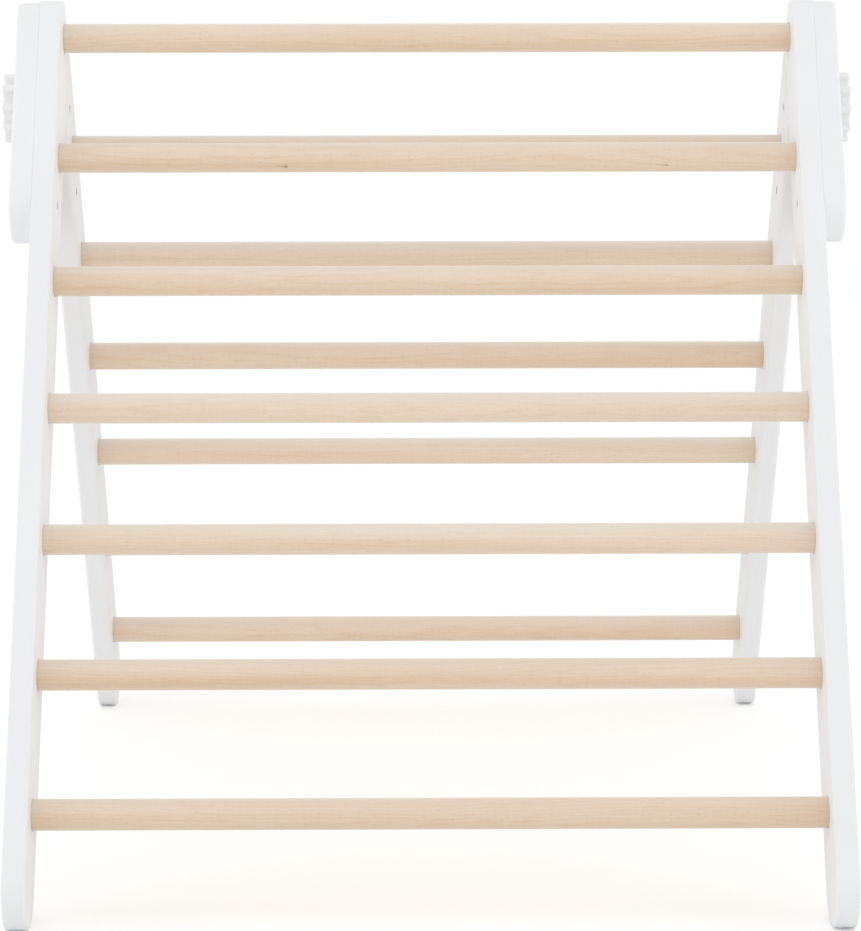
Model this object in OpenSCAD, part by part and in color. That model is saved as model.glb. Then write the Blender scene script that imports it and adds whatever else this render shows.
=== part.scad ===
// Folding climbing triangle: two ladders that lean together into an A.
// The head of the front ladder carries a hinge plate on each outer side. The rear
// ladder swings on the low rear bolt of each plate and is clamped by a lobed knob.
// Millimetres. The origin is on the floor, midway between the rails and between the
// two centre lines. +X is to the right, the front ladder is towards -Y, +Z is up.

/* [Ladders] */
// Clear width between the front side rails
clear_w = 754; // [600:1:900]
// Lean of both ladders from the vertical, in degrees
lean = 30; // [27:0.5:33]
// Distance between neighbouring rungs along a rail
rung_pitch = 138; // [126:1:150]
// Top front rung above the crossing of the centre lines, along the rail
top_rung_rise = 12.5; // [4:0.5:20]
// Lowest rung to the centre of the round foot, along the rail
foot_reach = 70; // [60:1:120]

/* [Rails] */
// Width of a side rail, seen from the side
rail_w = 80; // [74:1:86]
// Thickness of a side rail
rail_t = 22; // [20:0.5:26]
// Rounding of the open board edges
edge_r = 3.5; // [2:0.5:6]
// Rounding of the edges where a hinge plate lies on its front rail
seam_r = 1.5; // [1:0.5:3]
// Top of the front rail above the axis of the top rung
head_rise = 38.5; // [34:0.5:42]
// Corner radius of the trimmed head
head_corner_r = 10; // [7:0.5:12]
// Radius of the mitre corners, where rear and front rails meet
mitre_corner_r = 5; // [4.5:0.5:7]
// Gap of the closed mitre between the rear rail and the front rail
mitre_gap = 0.3; // [0.2:0.1:1]
// Width of the flat sole under each round foot
sole_w = 12; // [6:1:20]

/* [Rungs] */
// Diameter of a rung
rung_d = 30; // [26:1:34]
// Depth of the blind socket that holds a rung's end
socket_depth = 10; // [8:0.5:12]
// Radial clearance of a rung in its socket
socket_clear = 0.1; // [0.05:0.05:0.3]

/* [Hinge plates] */
// Thickness of a hinge plate
plate_t = 23; // [20:0.5:25]
// Top of the plate below the top of the front rail
plate_top_drop = 2; // [0:0.5:6]
// Bottom edge of the plate below the axis of the low bolts
plate_foot = 38; // [32:1:44]
// Radius of the plate's two lower corners
plate_foot_r = 36; // [28:1:38]
// Low bolts of the plate, down the rail from the crossing
low_bolt_s = 179; // [172:1:190]
// Knob axis, down the rear rail from the crossing
knob_s = 73; // [66:1:82]
// Gap between a hinge plate and the rear rail
side_gap = 0.7; // [0.6:0.1:1.5]
// Play on each side of the knob's stud in the plate's notch
notch_play = 0.5; // [0.3:0.1:1]

/* [Bolts and inserts] */
// Diameter of bolts and studs
bolt_d = 8; // [6:1:10]
// Radial running clearance of a bolt or stud
bolt_run = 0.05; // [0.03:0.01:0.09]
// Radial clearance of a fixed bolt in its plate hole
bolt_clear = 0.2; // [0.1:0.05:0.4]
// Diameter of a bolt's flat head
bolt_head_d = 17; // [14:0.5:19]
// Height of a bolt's flat head
bolt_head_h = 2.5; // [2:0.25:4]
// Width across flats of the hexagon socket in a bolt's head
bolt_hex = 5; // [4:0.5:5.5]
// Outer diameter of a threaded insert
insert_d = 12; // [11:0.5:13]
// Length of a threaded insert
insert_l = 16; // [12:0.5:17]
// Distance that a bolt's tip stays short of the rail's inner face
tip_recess = 3; // [1:0.5:5]
// Outer diameter of the pivot washers
pivot_washer_d = 20; // [18:1:24]
// Thickness of the washer under the pivot bolt's head
pivot_washer_t = 1.5; // [1:0.25:2]
// Running gap beside a washer that turns against a plate
washer_run = 0.2; // [0.1:0.05:0.4]

/* [Wood screws] */
// Shank diameter of a rung screw
screw_d = 5; // [4:0.5:6]
// Head diameter of a rung screw
screw_head_d = 9.5; // [8:0.5:11]
// Length of a screw that holds a rung to a rail
screw_l = 50; // [40:5:60]
// Length of a screw that passes through the hinge plate first
plate_screw_l = 70; // [65:5:80]
// Radial clearance around a screw
screw_clear = 0.05; // [0.03:0.01:0.1]

/* [Knobs] */
// Diameter over the lobes of a knob
knob_d = 74.5; // [72:0.5:78]
// Depth of the valleys between the lobes
lobe_depth = 11.5; // [9:0.5:12]
// Radius of a lobe's tip
lobe_r = 4; // [3.5:0.5:4.5]
// Turn of a knob at rest: the front lobe's angle above the horizontal, in degrees
lobe_angle = 2; // [-18:1:18]
// Thickness of the knob's lobed head
knob_head_t = 13; // [11.5:0.5:16]
// Rounding of the rim of the lobed head
knob_rim_r = 2; // [1.5:0.25:3]
// Diameter of the shallow dish in the knob's face
dish_d = 45; // [36:1:46]
// Depth of that dish
knob_dish = 1.5; // [1:0.25:2]
// Diameter of the knob's hub
hub_d = 34; // [28:1:40]
// Length of the hub under the lobed head
hub_t = 6; // [4:0.5:9]
// Depth to which the stud is moulded into the knob
stud_grip = 14; // [10:0.5:16]
// Outer diameter of the washer under the knob
knob_washer_d = 30; // [26:1:34]
// Thickness of the washer under the knob
knob_washer_t = 2; // [1.5:0.25:3]
// Gap between the knob's washer and the plate
knob_seat_gap = 0.3; // [0.2:0.05:0.5]

/* [Hidden] */

front_rungs = 7;
rear_rungs = 6;
plate_rungs = 2; // front rungs whose screws pass through the hinge plate
knob_lobes = 10;
round_fn = 96;
puck_fn = 64;
fillet_fn = 24;
valley_ease = 1.05; // valley arc over the arc that would touch the lobes
rim_margin = 0.4; // how far the rim's full radius lies outside the lobes' tips
eps = 0.5; // overshoot of a cut past the face it opens

half_w = rail_w / 2;
front_dir = [-sin(lean), -cos(lean)];
rear_dir = [sin(lean), -cos(lean)];

// Places down a rail, measured from the crossing of the two centre lines
function front_rung_s(i) = -top_rung_rise + (i - 1) * rung_pitch;
function rear_rung_s(i) = front_rung_s(i + 1);
foot_s = front_rung_s(front_rungs) + foot_reach;
sole_cut = half_w - sqrt(half_w * half_w - sole_w * sole_w / 4);
crossing_z = half_w - sole_cut + foot_s * cos(lean);

// Points in the side plane, as [y, z] from the floor
function front_point(s) = [0, crossing_z] + s * front_dir;
function rear_point(s) = [0, crossing_z] + s * rear_dir;
head_z = crossing_z + top_rung_rise * cos(lean) + head_rise;
low_bolt_z = rear_point(low_bolt_s)[1];

// Edge lines in the side plane, as [outward normal, distance from the crossing]
front_edge = [[-cos(lean), sin(lean)], half_w];
front_back_edge = [[cos(lean), -sin(lean)], half_w];
rear_slope = [[cos(lean), sin(lean)], half_w];
rear_front_edge = [[-cos(lean), -sin(lean)], half_w];
mitre_line = [[-cos(lean), sin(lean)], -half_w - mitre_gap];
head_line = [[0, 1], head_z - crossing_z];
plate_top_line = [[0, 1], head_z - plate_top_drop - crossing_z];
plate_foot_line = [[0, -1], crossing_z - low_bolt_z + plate_foot];

// Centre of a corner of radius r between two edge lines, as [y, z, r]
function corner(a, b, r) =
    let (
        det = a[0][0] * b[0][1] - a[0][1] * b[0][0],
        ca = a[1] - r,
        cb = b[1] - r
    )
    [
        (ca * b[0][1] - cb * a[0][1]) / det,
        crossing_z + (a[0][0] * cb - b[0][0] * ca) / det,
        r
    ];
function foot(point) = [point[0], point[1], half_w];

// Faces across the width, as x on the right-hand side
inner_x = clear_w / 2;
outer_x = inner_x + rail_t;
plate_out_x = outer_x + plate_t;
rear_inner_x = inner_x - side_gap;
rear_outer_x = outer_x - side_gap;
pivot_seat_x = plate_out_x + washer_run;
spacer_t = side_gap - washer_run;
knob_seat_x = plate_out_x + knob_seat_gap;
hub_x = knob_seat_x + knob_washer_t;
knob_head_x = hub_x + hub_t;
knob_out_x = knob_head_x + knob_head_t;

knob_swing_r = low_bolt_s - knob_s;

white = [0.94, 0.94, 0.95];
beech = [0.87, 0.77, 0.66];
warm_white = [0.92, 0.92, 0.91];
steel = [0.75, 0.76, 0.78];
zinc = [0.72, 0.70, 0.64];

// Puts a shape made along +X, with its axis at y = z = 0, at a point of the side plane
module at(point, x = 0) {
    translate([x, point[0], point[1]]) children();
}

// Cylinder along +X
module rod(d, l) {
    rotate([0, 90, 0]) cylinder(d = d, h = l, $fn = round_fn);
}

module right_side() {
    children();
}
module left_side() {
    mirror([1, 0, 0]) children();
}
module both_sides() {
    right_side() children();
    left_side() children();
}

// Flat disc with rounded edges, the building block of every board. near_r and far_r
// are the roundings of its edges nearer to and farther from the middle of the object.
module puck(r, t, near_r, far_r) {
    rotate([0, 90, 0]) rotate_extrude($fn = puck_fn) {
        square([r - near_r, t - far_r]);
        translate([0, near_r]) square([r, t - near_r - far_r]);
        translate([0, near_r]) square([r - far_r, t - near_r]);
        translate([r - near_r, near_r]) rim(near_r);
        translate([r - far_r, t - far_r]) rim(far_r);
    }
}

module rim(r) {
    intersection() {
        circle(r = r, $fn = fillet_fn);
        translate([0, -r]) square([r, 2 * r]);
    }
}

// Board with rounded corners and edges; corners are [y, z, radius]
module board(corners, x, t, near_r = edge_r, far_r = edge_r) {
    hull() for (c = corners) at(c, x) puck(c[2], t, near_r, far_r);
}

module sole_trim() {
    translate([-plate_out_x, -foot_s, -foot_s]) cube([2 * plate_out_x, 2 * foot_s, foot_s]);
}

// Blind socket in an inner face for a rung's end, and the hole for its screw
module socket_cut(point, face_x) {
    at(point, face_x - eps) rod(rung_d + 2 * socket_clear, socket_depth + eps);
    at(point, face_x) rod(screw_d + 2 * screw_clear, rail_t + eps);
}

// Countersink that opens in the outer face at x
module countersink(point, x) {
    head_h = (screw_head_d - screw_d) / 2;
    at(point, x - head_h)
        rotate([0, 90, 0])
            cylinder(
                d1 = screw_d + 2 * screw_clear,
                d2 = screw_head_d + 2 * screw_clear + 2 * eps,
                h = head_h + eps,
                $fn = round_fn
            );
}

// Stepped hole for an insert, open on both faces of a rail
module insert_cut(point, face_x) {
    at(point, face_x - eps) rod(bolt_d + 2 * bolt_clear, rail_t + 2 * eps);
    at(point, face_x + rail_t - insert_l) rod(insert_d + 2 * bolt_run, insert_l + eps);
}

// Hollow threaded insert, its thread left plain
module insert(point, face_x) {
    at(point, face_x + rail_t - insert_l) difference() {
        rod(insert_d, insert_l);
        translate([-eps, 0, 0]) rod(bolt_d + 2 * bolt_run, insert_l + 2 * eps);
    }
}

// Countersunk wood screw whose head is flush with the outer face at x
module screw(point, x, l) {
    head_h = (screw_head_d - screw_d) / 2;
    tip_l = screw_d;
    at(point, x - l) rotate([0, 90, 0]) difference() {
        union() {
            cylinder(d1 = 1, d2 = screw_d, h = tip_l, $fn = round_fn);
            translate([0, 0, tip_l]) cylinder(d = screw_d, h = l - tip_l, $fn = round_fn);
            translate([0, 0, l - head_h])
                cylinder(d1 = screw_d, d2 = screw_head_d, h = head_h, $fn = round_fn);
        }
        translate([0, 0, l - 2]) cylinder(d = 4, h = 2 + eps, $fn = 6);
    }
}

// Flat-headed bolt whose head rests at x and whose tip ends at tip_x
module bolt(point, x, tip_x) {
    at(point, tip_x) difference() {
        union() {
            rod(bolt_d, x - tip_x + bolt_head_h / 2);
            translate([x - tip_x, 0, 0]) bolt_head();
        }
        translate([x - tip_x + bolt_head_h - 4, 0, 0])
            rotate([0, 90, 0]) cylinder(d = bolt_hex / cos(30), h = 4 + eps, $fn = 6);
    }
}

// Flat head with a rounded rim
module bolt_head() {
    rim = bolt_head_h * 0.6;
    rotate([0, 90, 0]) rotate_extrude($fn = round_fn) {
        square([bolt_head_d / 2 - rim, bolt_head_h]);
        square([bolt_head_d / 2, bolt_head_h - rim]);
        translate([bolt_head_d / 2 - rim, bolt_head_h - rim]) intersection() {
            circle(r = rim, $fn = fillet_fn);
            square(rim);
        }
    }
}

module washer(point, x, od, t, bore) {
    at(point, x) difference() {
        rod(od, t);
        translate([-eps, 0, 0]) rod(bore, t + 2 * eps);
    }
}

// Rung from socket floor to socket floor, with a pilot hole in each end
module rung(point, half_l, depth) {
    at(point) difference() {
        translate([-half_l, 0, 0]) rod(rung_d, 2 * half_l);
        both_sides()
            translate([half_l - depth, 0, 0]) rod(screw_d + 2 * screw_clear, depth + eps);
    }
}

// Side rails

module front_rail() {
    color(white) difference() {
        board(
            [
                foot(front_point(foot_s)),
                corner(front_edge, head_line, head_corner_r),
                corner(head_line, rear_slope, head_corner_r),
                corner(rear_slope, front_back_edge, mitre_corner_r)
            ],
            inner_x, rail_t, far_r = seam_r
        );
        sole_trim();
        for (i = [1:front_rungs]) socket_cut(front_point(front_rung_s(i)), inner_x);
        for (i = [plate_rungs + 1:front_rungs])
            countersink(front_point(front_rung_s(i)), outer_x);
        insert_cut(front_point(low_bolt_s), inner_x);
    }
}

module rear_rail() {
    color(white) difference() {
        board(
            [
                foot(rear_point(foot_s)),
                corner(rear_slope, mitre_line, mitre_corner_r),
                corner(mitre_line, rear_front_edge, mitre_corner_r)
            ],
            rear_inner_x, rail_t
        );
        sole_trim();
        for (i = [1:rear_rungs]) {
            socket_cut(rear_point(rear_rung_s(i)), rear_inner_x);
            countersink(rear_point(rear_rung_s(i)), rear_outer_x);
        }
        insert_cut(rear_point(low_bolt_s), rear_inner_x);
        insert_cut(rear_point(knob_s), rear_inner_x);
    }
}

// Rungs

module front_rung(i) {
    grip = i > plate_rungs ? screw_l - rail_t : plate_screw_l - plate_t - rail_t;
    color(beech)
        rung(front_point(front_rung_s(i)), inner_x + socket_depth, socket_depth + grip + 1);
}

module rear_rung(i) {
    color(beech)
        rung(
            rear_point(rear_rung_s(i)),
            rear_inner_x + socket_depth,
            socket_depth + screw_l - rail_t + 1
        );
}

// Hinge plates

// Open slot that lets the stud swing out backwards about the pivot
module stud_notch() {
    half_slot = bolt_d / 2 + notch_play;
    at(rear_point(knob_s), outer_x - eps) rod(2 * half_slot, plate_t + 2 * eps);
    at(rear_point(low_bolt_s), outer_x - eps)
        rotate([90, 0, 90])
            linear_extrude(height = plate_t + 2 * eps) intersection() {
                difference() {
                    circle(r = knob_swing_r + half_slot, $fn = 2 * round_fn);
                    circle(r = knob_swing_r - half_slot, $fn = 2 * round_fn);
                }
                rotate(90 + lean) translate([0, -2 * half_w]) square([2 * knob_swing_r, 2 * half_w]);
            }
}

module hinge_plate() {
    color(white) difference() {
        board(
            [
                corner(front_edge, plate_top_line, head_corner_r),
                corner(plate_top_line, rear_slope, head_corner_r),
                corner(rear_slope, plate_foot_line, plate_foot_r),
                corner(plate_foot_line, front_edge, plate_foot_r)
            ],
            outer_x, plate_t, near_r = seam_r
        );
        for (i = [1:plate_rungs]) {
            at(front_point(front_rung_s(i)), outer_x - eps)
                rod(screw_d + 2 * screw_clear, plate_t + 2 * eps);
            countersink(front_point(front_rung_s(i)), plate_out_x);
        }
        at(front_point(low_bolt_s), outer_x - eps)
            rod(bolt_d + 2 * bolt_clear, plate_t + 2 * eps);
        at(rear_point(low_bolt_s), outer_x - eps)
            rod(bolt_d + 2 * bolt_run, plate_t + 2 * eps);
        stud_notch();
    }
}

// Fasteners

module front_rung_screws() {
    color(steel) both_sides()
        for (i = [plate_rungs + 1:front_rungs])
            screw(front_point(front_rung_s(i)), outer_x, screw_l);
}

module plate_screws() {
    color(steel) both_sides()
        for (i = [1:plate_rungs])
            screw(front_point(front_rung_s(i)), plate_out_x, plate_screw_l);
}

module rear_rung_screws() {
    color(steel) both_sides()
        for (i = [1:rear_rungs])
            screw(rear_point(rear_rung_s(i)), rear_outer_x, screw_l);
}

module plate_bolts() {
    color(steel) both_sides()
        bolt(front_point(low_bolt_s), plate_out_x, inner_x + tip_recess);
}

module front_inserts() {
    color(zinc) both_sides() insert(front_point(low_bolt_s), inner_x);
}

module rear_inserts() {
    color(zinc) both_sides() {
        insert(rear_point(low_bolt_s), rear_inner_x);
        insert(rear_point(knob_s), rear_inner_x);
    }
}

module pivot_bolts() {
    color(steel) both_sides()
        bolt(
            rear_point(low_bolt_s),
            pivot_seat_x + pivot_washer_t,
            rear_inner_x + tip_recess
        );
}

module pivot_washers() {
    color(steel) both_sides()
        washer(
            rear_point(low_bolt_s), pivot_seat_x,
            pivot_washer_d, pivot_washer_t, bolt_d + 2 * bolt_run
        );
}

// Thin washers that keep the rear rail off the plate
module spacer_washers() {
    color(warm_white) both_sides()
        washer(
            rear_point(low_bolt_s), rear_outer_x,
            pivot_washer_d, spacer_t, bolt_d + 2 * bolt_run
        );
}

// Knobs

// Wavy outline: round lobes, and valleys whose arcs run a little way into the lobes
module lobed_outline() {
    step = 180 / knob_lobes;
    lobe_c = knob_d / 2 - lobe_r;
    floor_r = knob_d / 2 - lobe_depth;
    tangent_r =
        (lobe_c * lobe_c + floor_r * floor_r - 2 * lobe_c * floor_r * cos(step) - lobe_r * lobe_r)
        / (2 * (lobe_r - floor_r + lobe_c * cos(step)));
    valley_r = valley_ease * tangent_r;
    valley_c = floor_r + valley_r;
    reach = [valley_c * cos(step) - lobe_c, valley_c * sin(step)];
    share = (norm(reach) + (lobe_r * lobe_r - valley_r * valley_r) / norm(reach)) / (2 * norm(reach));
    core_r = norm([lobe_c, 0] + share * reach);
    difference() {
        union() {
            circle(r = core_r, $fn = round_fn);
            for (i = [0:knob_lobes - 1])
                rotate(2 * i * step) translate([lobe_c, 0]) circle(r = lobe_r, $fn = round_fn / 2);
        }
        for (i = [0:knob_lobes - 1])
            rotate((2 * i + 1) * step)
                translate([valley_c, 0]) circle(r = valley_r, $fn = round_fn / 2);
    }
}

// Side profile of the lobed head: rounded rims, and a dish in the outer face
module head_profile() {
    r = knob_d / 2 + rim_margin;
    difference() {
        union() {
            square([r - knob_rim_r, knob_head_t]);
            translate([0, knob_rim_r]) square([r, knob_head_t - 2 * knob_rim_r]);
            for (y = [knob_rim_r, knob_head_t - knob_rim_r])
                translate([r - knob_rim_r, y]) intersection() {
                    circle(r = knob_rim_r, $fn = 2 * fillet_fn);
                    translate([0, -knob_rim_r]) square([knob_rim_r, 2 * knob_rim_r]);
                }
        }
        polygon([
            [-1, knob_head_t + eps],
            [-1, knob_head_t - knob_dish],
            [dish_d / 2 - 2 * knob_dish, knob_head_t - knob_dish],
            [dish_d / 2 + 2 * eps, knob_head_t + eps]
        ]);
    }
}

module knob() {
    color(warm_white) difference() {
        at(rear_point(knob_s), hub_x) union() {
            rod(hub_d, hub_t + eps);
            translate([hub_t, 0, 0]) rotate([0, 90, 0]) intersection() {
                linear_extrude(height = knob_head_t) rotate(-90 - lobe_angle) lobed_outline();
                rotate_extrude($fn = round_fn) head_profile();
            }
        }
        at(rear_point(knob_s), hub_x - eps) rod(bolt_d + 2 * screw_clear, stud_grip + eps);
    }
}

module knob_stud() {
    tip_x = rear_inner_x + tip_recess;
    color(steel) at(rear_point(knob_s), tip_x) rod(bolt_d, hub_x + stud_grip - tip_x);
}

module knob_washer() {
    color(steel)
        washer(
            rear_point(knob_s), knob_seat_x,
            knob_washer_d, knob_washer_t, bolt_d + 2 * bolt_clear
        );
}

left_side() front_rail();  // front_left_rail
right_side() front_rail();  // front_right_rail
for (i = [1:front_rungs])
    front_rung(i);
left_side() hinge_plate();  // left_hinge_plate
right_side() hinge_plate();  // right_hinge_plate
front_rung_screws();
plate_screws();
plate_bolts();
front_inserts();
left_side() rear_rail();  // rear_left_rail
right_side() rear_rail();  // rear_right_rail
for (i = [1:rear_rungs])
    rear_rung(i);
rear_rung_screws();
rear_inserts();
pivot_bolts();
pivot_washers();
spacer_washers();
left_side() knob();  // left_knob
left_side() knob_stud();  // left_knob_stud
left_side() knob_washer();  // left_knob_washer
right_side() knob();  // right_knob
right_side() knob_stud();  // right_knob_stud
right_side() knob_washer();  // right_knob_washer
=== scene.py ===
import math

import bmesh
import bpy
from mathutils import Matrix, Vector
from mathutils.geometry import tessellate_polygon


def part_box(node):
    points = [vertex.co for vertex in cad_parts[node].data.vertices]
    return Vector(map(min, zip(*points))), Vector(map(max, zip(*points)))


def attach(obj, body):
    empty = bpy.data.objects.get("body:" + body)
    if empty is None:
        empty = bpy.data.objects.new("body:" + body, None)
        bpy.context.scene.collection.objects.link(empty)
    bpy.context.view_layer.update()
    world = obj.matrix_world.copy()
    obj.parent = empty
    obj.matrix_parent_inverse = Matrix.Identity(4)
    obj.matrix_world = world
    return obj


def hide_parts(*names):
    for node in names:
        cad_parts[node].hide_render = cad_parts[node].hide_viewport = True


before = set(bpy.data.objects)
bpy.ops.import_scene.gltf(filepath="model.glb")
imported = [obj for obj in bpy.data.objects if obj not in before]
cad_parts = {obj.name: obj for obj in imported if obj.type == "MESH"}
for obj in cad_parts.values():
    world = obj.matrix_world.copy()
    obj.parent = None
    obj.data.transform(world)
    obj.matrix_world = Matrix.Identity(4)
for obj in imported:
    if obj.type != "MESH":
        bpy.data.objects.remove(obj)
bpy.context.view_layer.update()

print("stage 1: frame loaded")

# All lengths are metres. In the side plane a point is (y, z).
boards = {
    "width": 0.080,
    "edge": (0.0035, 0.0035),   # rounding of an edge: across the board, in from its outline
    "seam": (0.0015, 0.0006),   # the same where a hinge plate lies on its front rail
    "edgeSteps": 6,
    "arcStep": math.radians(4),
    "sharpAngle": 40,           # degrees: a steeper edge stays sharp
    "headRadius": 0.010,
    "mitreRadius": 0.005,
    "mitreGap": 0.0003,
    "plateFootRadius": 0.036,
}
holes = {
    "segments": 64,
    "rim": 0.0003,              # chamfer at the mouth
    "socketRim": 0.0006,
    "socketRadius": 0.0151,
    "socketDepth": 0.010,
    "screwRadius": 0.00255,
    "screwHeadRadius": 0.0048,
    "boltRadius": 0.0042,
    "pivotRadius": 0.00405,
    "insertRadius": 0.00605,
    "insertLength": 0.016,
    "notchHalfWidth": 0.0045,
    "notchSweep": math.radians(40),
    "notchSteps": 24,
    "cutMargin": 0.002,         # the notch's cutter stands out of the plate by this
}
dowel = {
    "radius": 0.015,
    "chamfer": 0.001,
    "pilotDepth": 0.039,
    "segments": 96,
    "frontSeed": 409,
    "rearSeed": 1243,
}
woodScrew = {
    "length": 0.050,
    "plateLength": 0.070,
    "radius": 0.0025,
    "headRadius": 0.00475,
    "socketAcross": 0.004,
    "socketDepth": 0.002,
    "socketCone": 0.0006,
    "pitch": 0.0024,
    "threadDepth": 0.0007,
    "pointLength": 0.0003,
    "pointRadius": 0.0004,
    "taperLength": 0.004,
    "threadStop": 0.40,         # shares of the length, below the head
    "shankStop": 0.38,
    "neck": 0.0005,
    "rim": 0.0002,
    "segments": 24,
}
machineBolt = {
    "radius": 0.004,
    "headRadius": 0.0085,
    "headHeight": 0.0025,
    "rimRadius": 0.0015,
    "rimSteps": 5,
    "socketAcross": 0.005,
    "socketDepth": 0.004,
    "socketRim": 0.0003,
    "socketCone": 0.001,
    "pitch": 0.00125,
    "threadDepth": 0.0006,
    "threadLength": 0.018,
    "tipChamfer": 0.001,
    "tipRecess": 0.003,
    "segments": 48,
}
knob = {
    "lobes": 10,
    "radius": 0.03725,
    "lobeDepth": 0.0115,
    "lobeRadius": 0.004,
    "headThickness": 0.013,
    "rimRadius": 0.0018,
    "rimSteps": 6,
    "dishRadius": 0.0225,
    "dishDepth": 0.0015,
    # Depth below the face or height above the dish's ground, and reach past its radius
    "dishEdge": [(0.0, 0.0008), (0.00015, 0.0003), (0.0006, -0.0005)],
    "dishFillet": [(0.0002, -0.0022), (0.0, -0.003)],
    "hubRadius": 0.017,
    "hubLength": 0.006,
    "hubEdge": 0.001,
    "hubEdgeSteps": 4,
    "hubFillet": 0.0006,
    "boreRadius": 0.00405,
    "boreDepth": 0.014,
    "boreRim": 0.0003,
    "lobeSteps": 14,
    "valleySteps": 12,
    "roundSegments": 128,
    "sharpAngle": 50,
    "angles": {"left": 5.0, "right": -1.0},     # degrees of the front lobe above the level
}
turnedPieces = {
    "threadSteps": 8,       # rings to one turn of a thread
    "sharpAngle": 35,
}
sideSigns = {"left": -1, "right": 1}


def sidePoint(node):
    low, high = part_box(node)
    middle = (low + high) / 2
    return Vector((middle.y, middle.z))


# Directions of the ladders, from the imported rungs
frontRungs = [sidePoint(f"front_rung_{i}") for i in range(1, 8)]
rearRungs = [sidePoint(f"rear_rung_{i}") for i in range(1, 7)]
frontDown = (frontRungs[-1] - frontRungs[0]).normalized()
rearDown = (rearRungs[-1] - rearRungs[0]).normalized()
frontOut = Vector((frontDown.y, -frontDown.x))
rearOut = Vector((-rearDown.y, rearDown.x))


def newObject(name, shape):
    mesh = bpy.data.meshes.new(name)
    bmesh.ops.recalc_face_normals(shape, faces=shape.faces[:])
    shape.to_mesh(mesh)
    shape.free()
    piece = bpy.data.objects.new(name, mesh)
    bpy.context.scene.collection.objects.link(piece)
    return piece


def freeze(piece):
    graph = bpy.context.evaluated_depsgraph_get()
    solid = bpy.data.meshes.new_from_object(piece.evaluated_get(graph))
    piece.modifiers.clear()
    piece.data = solid


def smoothEdges(piece, sharpAngle):
    piece.data.shade_smooth()
    piece.data.set_sharp_from_angle(angle=math.radians(sharpAngle))
    weights = piece.modifiers.new("weights", "WEIGHTED_NORMAL")
    weights.keep_sharp = True
    freeze(piece)


def bridge(shape, first, second):
    count = max(len(first), len(second))
    faces = []
    for k in range(count):
        corners = [first[k % len(first)], first[(k + 1) % len(first)]]
        corners += [second[(k + 1) % len(second)], second[k % len(second)]]
        faces.append(shape.faces.new(list(dict.fromkeys(corners))))
    return faces


# Boards: rails and hinge plates
# An edge is (normal, distance) and a disc (middle, radius). An outline runs round its discs.

def edgeAt(normal, point, offset):
    return (normal, normal.dot(point) + offset)


def cornerDisc(edgeA, edgeB, radius):
    (a, da), (b, db) = edgeA, edgeB
    det = a.x * b.y - a.y * b.x
    ca, cb = da - radius, db - radius
    return (Vector(((ca * b.y - cb * a.y) / det, (a.x * cb - b.x * ca) / det)), radius)


def tangentAngle(discA, discB):
    way = discB[0] - discA[0]
    lean = math.asin((discA[1] - discB[1]) / way.length)
    return math.atan2(way.y, way.x) - math.pi / 2 + lean


def outline(discs, inset):
    points = []
    for k, (middle, radius) in enumerate(discs):
        start = tangentAngle(discs[k - 1], discs[k])
        stop = tangentAngle(discs[k], discs[(k + 1) % len(discs)])
        sweep = (stop - start) % (2 * math.pi)
        steps = max(1, math.ceil(sweep / boards["arcStep"]))
        for j in range(steps + 1):
            angle = start + sweep * j / steps
            y = middle.x + (radius - inset) * math.cos(angle)
            z = middle.y + (radius - inset) * math.sin(angle)
            points.append((y, max(z, 0.0)))     # the sole is cut flat at the floor
    return points


def capLoops(shape, loops):
    corners = [vert for loop in loops for vert in loop]
    flat = [[Vector((vert.co.y, vert.co.z, 0.0)) for vert in loop] for loop in loops]
    for triangle in tessellate_polygon(flat):
        shape.faces.new([corners[k] for k in triangle])


def quarterRound(across, inward, steps):
    # (how far in from the face, how far in from the outline) along a rounded edge
    turns = [math.pi / 2 * k / steps for k in range(steps + 1)]
    return [(across * (1 - math.cos(turn)), inward * (1 - math.sin(turn))) for turn in turns]


def boardShape(name, side, faceX, thickness, discs, drilled, edges):
    shape = bmesh.new()
    sign = sideSigns[side]

    def ringAt(depth, points):
        return [shape.verts.new((sign * (faceX + depth), y, z)) for y, z in points]

    near, far = [quarterRound(*boards[edge], boards["edgeSteps"]) for edge in edges]
    levels = near + [(thickness - depth, inset) for depth, inset in reversed(far)]
    rims = [ringAt(depth, outline(discs, inset)) for depth, inset in levels]
    for first, second in zip(rims, rims[1:]):
        bridge(shape, first, second)
    caps = {0.0: [rims[0]], thickness: [rims[-1]]}
    for middle, profile in drilled:
        rings = []
        for depth, radius in profile:
            circle = []
            for k in range(holes["segments"]):
                angle = 2 * math.pi * k / holes["segments"]
                y = middle.x + radius * math.cos(angle)
                circle.append((y, middle.y + radius * math.sin(angle)))
            rings.append(ringAt(depth, circle))
        for first, second in zip(rings, rings[1:]):
            for face in bridge(shape, first, second):
                face.material_index = 1     # bare wood
        caps[0.0].append(rings[0])
        caps[thickness].append(rings[-1])
    for loops in caps.values():
        capLoops(shape, loops)
    return newObject(name, shape)


def socketProfile(thickness, headed):
    rim, radius = holes["socketRim"], holes["socketRadius"]
    profile = [(0.0, radius + rim), (rim, radius)]
    profile += [(holes["socketDepth"], radius), (holes["socketDepth"], holes["screwRadius"])]
    return profile + screwHoleEnd(thickness, headed)


def screwHoleEnd(thickness, headed):
    if not headed:
        return [(thickness, holes["screwRadius"])]
    sink = holes["screwHeadRadius"] - holes["screwRadius"]
    return [(thickness - sink, holes["screwRadius"]), (thickness, holes["screwHeadRadius"])]


def insertProfile(thickness):
    step = thickness - holes["insertLength"]
    profile = [(0.0, holes["boltRadius"] + holes["rim"]), (holes["rim"], holes["boltRadius"])]
    profile += [(step, holes["boltRadius"]), (step, holes["insertRadius"])]
    return profile + [(thickness, holes["insertRadius"])]


def plainProfile(thickness, radius):
    return [(0.0, radius), (thickness - holes["rim"], radius), (thickness, radius + holes["rim"])]


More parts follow.
